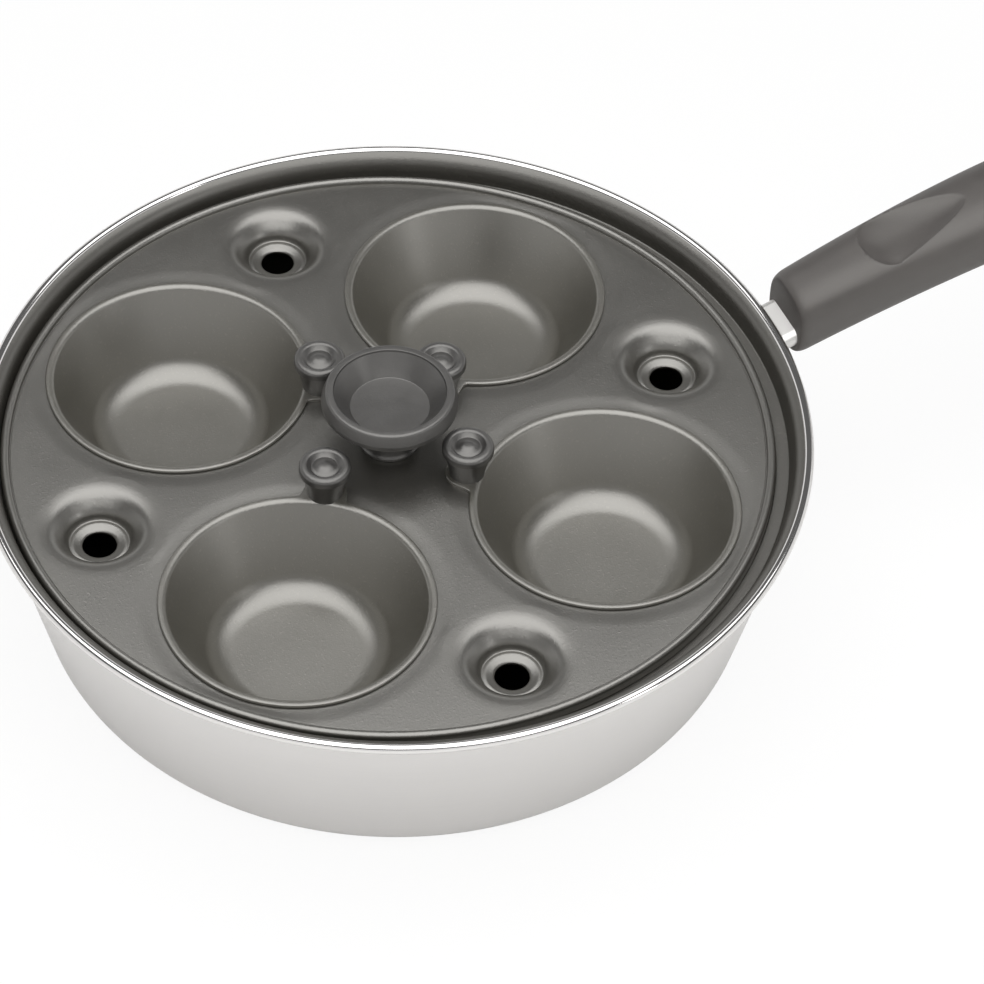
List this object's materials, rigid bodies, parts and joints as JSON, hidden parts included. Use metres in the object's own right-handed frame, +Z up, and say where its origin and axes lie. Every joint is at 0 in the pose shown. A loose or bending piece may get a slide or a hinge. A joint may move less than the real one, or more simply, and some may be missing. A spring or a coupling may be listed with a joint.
{
  "type": "egg poacher pan",
  "caption": "Shallow steel pan with a side handle, a lift-out tray with steam vents and a central knob, and lift-out egg cups with small knobs.",
  "frame": {"origin": "middle of the flat base, on the table", "axes": "+Z up, +X along the handle, +Y to the left of the handle seen from the pan"},
  "size_m": [0.376, 0.21, 0.0848],
  "materials": {
    "pan_steel": "satin outside, polished rim",
    "bright_steel": "polished",
    "tray_coating": "satin non-stick coating with a fine speckle",
    "cup_coating": "satin non-stick coating",
    "grip_moulding": "satin heatproof moulding",
    "knob_moulding": "smooth heatproof moulding",
    "fixings": "plain"
  },
  "bodies": {
    "pan": {"pan_body": "pan_steel", "handle_bracket": "bright_steel", "flame_guard": "bright_steel", "handle_grip": "grip_moulding", "handle_screw": "fixings"},
    "tray": {"tray": "tray_coating", "tray_knob": "knob_moulding", "tray_knob_washer": "fixings", "tray_knob_screw": "fixings"},
    "cup 1": {"cup_1": "cup_coating", "cup_knob_1": "knob_moulding", "cup_screw_1": "fixings"},
    "cup 2": {"cup_2": "cup_coating", "cup_knob_2": "knob_moulding", "cup_screw_2": "fixings"},
    "cup 3": {"cup_3": "cup_coating", "cup_knob_3": "knob_moulding", "cup_screw_3": "fixings"},
    "cup 4": {"cup_4": "cup_coating", "cup_knob_4": "knob_moulding", "cup_screw_4": "fixings"}
  },
  "joints": [
    {"name": "tray_lift", "type": "slide", "parent": "pan", "child": "tray", "axis": [0, 0, 1], "range_m": [0, 0.08]},
    {"name": "cup_1_lift", "type": "slide", "parent": "tray", "child": "cup 1", "axis": [0.31, 0.31, 0.8988], "range_m": [0, 0.06]},
    {"name": "cup_2_lift", "type": "slide", "parent": "tray", "child": "cup 2", "axis": [-0.31, 0.31, 0.8988], "range_m": [0, 0.06]},
    {"name": "cup_3_lift", "type": "slide", "parent": "tray", "child": "cup 3", "axis": [-0.31, -0.31, 0.8988], "range_m": [0, 0.06]},
    {"name": "cup_4_lift", "type": "slide", "parent": "tray", "child": "cup 4", "axis": [0.31, -0.31, 0.8988], "range_m": [0, 0.06]}
  ]
}
